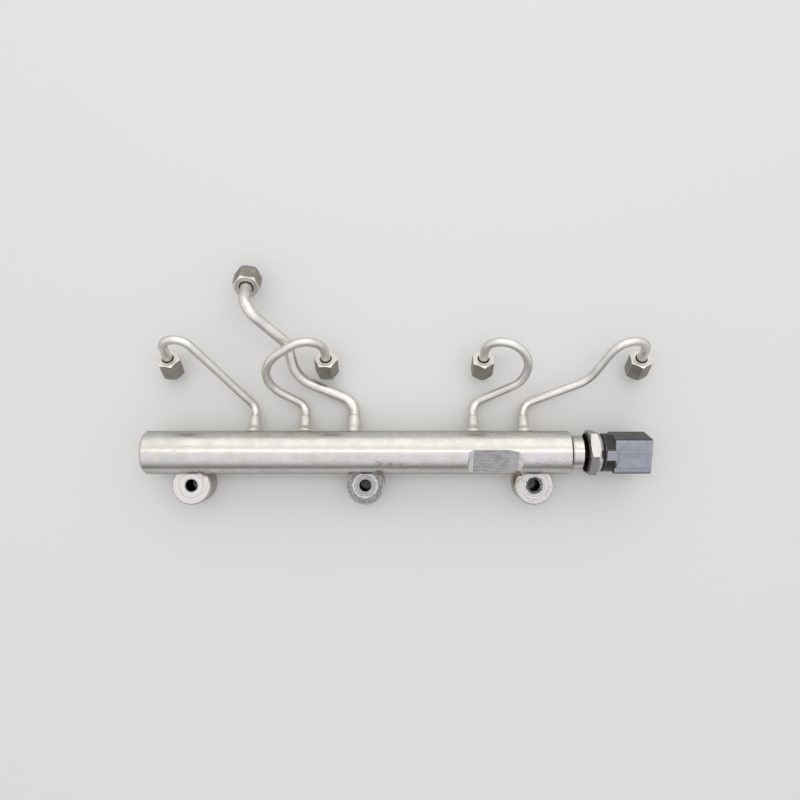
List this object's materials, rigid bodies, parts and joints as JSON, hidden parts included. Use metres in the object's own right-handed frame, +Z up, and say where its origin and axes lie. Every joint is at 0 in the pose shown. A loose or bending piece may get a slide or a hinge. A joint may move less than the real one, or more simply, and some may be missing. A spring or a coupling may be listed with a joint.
{
  "type": "fuel rail",
  "caption": "Steel fuel rail tube with bolt bosses, bent high-pressure lines ending in union nuts, a thicker feed line and a pressure sensor at one end.",
  "frame": {"origin": "centre of the middle bolt hole on the plane that the bosses' lower faces lie in", "axes": "+X along the rail towards the pressure sensor, +Y from the bolt holes to the lines, +Z up along the bolts"},
  "size_m": [0.293, 0.1399, 0.0368],
  "materials": {
    "rail_steel": "satin, lightly scratched",
    "boss_steel": "turned, worn",
    "ferrule_steel": "satin, brazed",
    "line_steel": "satin",
    "nipple_steel": "satin",
    "nut_steel": "satin, dull",
    "sensor_steel": "bright turned",
    "connector_plastic": "matte",
    "terminal_metal": "tinned, satin"
  },
  "bodies": {
    "rail": {"rail_body": "rail_steel", "mounting_boss_left": "boss_steel", "mounting_boss_centre": "boss_steel", "mounting_boss_right": "boss_steel", "injector_ferrule_1": "ferrule_steel", "injector_ferrule_2": "ferrule_steel", "injector_ferrule_3": "ferrule_steel", "injector_ferrule_4": "ferrule_steel", "injector_line_1": "line_steel", "injector_line_2": "line_steel", "injector_line_3": "line_steel", "injector_line_4": "line_steel", "injector_nipple_1": "nipple_steel", "injector_nipple_2": "nipple_steel", "injector_nipple_3": "nipple_steel", "injector_nipple_4": "nipple_steel", "feed_ferrule": "ferrule_steel", "feed_line": "line_steel", "feed_nipple": "nipple_steel", "sensor_housing": "sensor_steel", "sensor_connector": "connector_plastic", "sensor_terminal_1": "terminal_metal", "sensor_terminal_2": "terminal_metal", "sensor_terminal_3": "terminal_metal"},
    "injector_nut_1": {"injector_nut_1": "nut_steel"},
    "injector_nut_2": {"injector_nut_2": "nut_steel"},
    "injector_nut_3": {"injector_nut_3": "nut_steel"},
    "injector_nut_4": {"injector_nut_4": "nut_steel"},
    "feed_nut": {"feed_nut": "nut_steel"}
  },
  "joints": [
    {"name": "injector_nut_1_spin", "type": "hinge", "parent": "rail", "child": "injector_nut_1", "pos_m": [-0.1143, 0.074, 0.01845], "axis": [0, 0.5592, 0.829], "continuous": true},
    {"name": "injector_nut_2_spin", "type": "hinge", "parent": "rail", "child": "injector_nut_2", "pos_m": [-0.0228, 0.074, 0.01845], "axis": [0, 0.5592, 0.829], "continuous": true},
    {"name": "injector_nut_3_spin", "type": "hinge", "parent": "rail", "child": "injector_nut_3", "pos_m": [0.0687, 0.074, 0.01845], "axis": [0, 0.5592, 0.829], "continuous": true},
    {"name": "injector_nut_4_spin", "type": "hinge", "parent": "rail", "child": "injector_nut_4", "pos_m": [0.1602, 0.074, 0.01845], "axis": [0, 0.5592, 0.829], "continuous": true},
    {"name": "feed_nut_spin", "type": "hinge", "parent": "rail", "child": "feed_nut", "pos_m": [-0.0686, 0.1148, 0.0198], "axis": [0.0672, -0.6393, 0.766], "continuous": true}
  ]
}
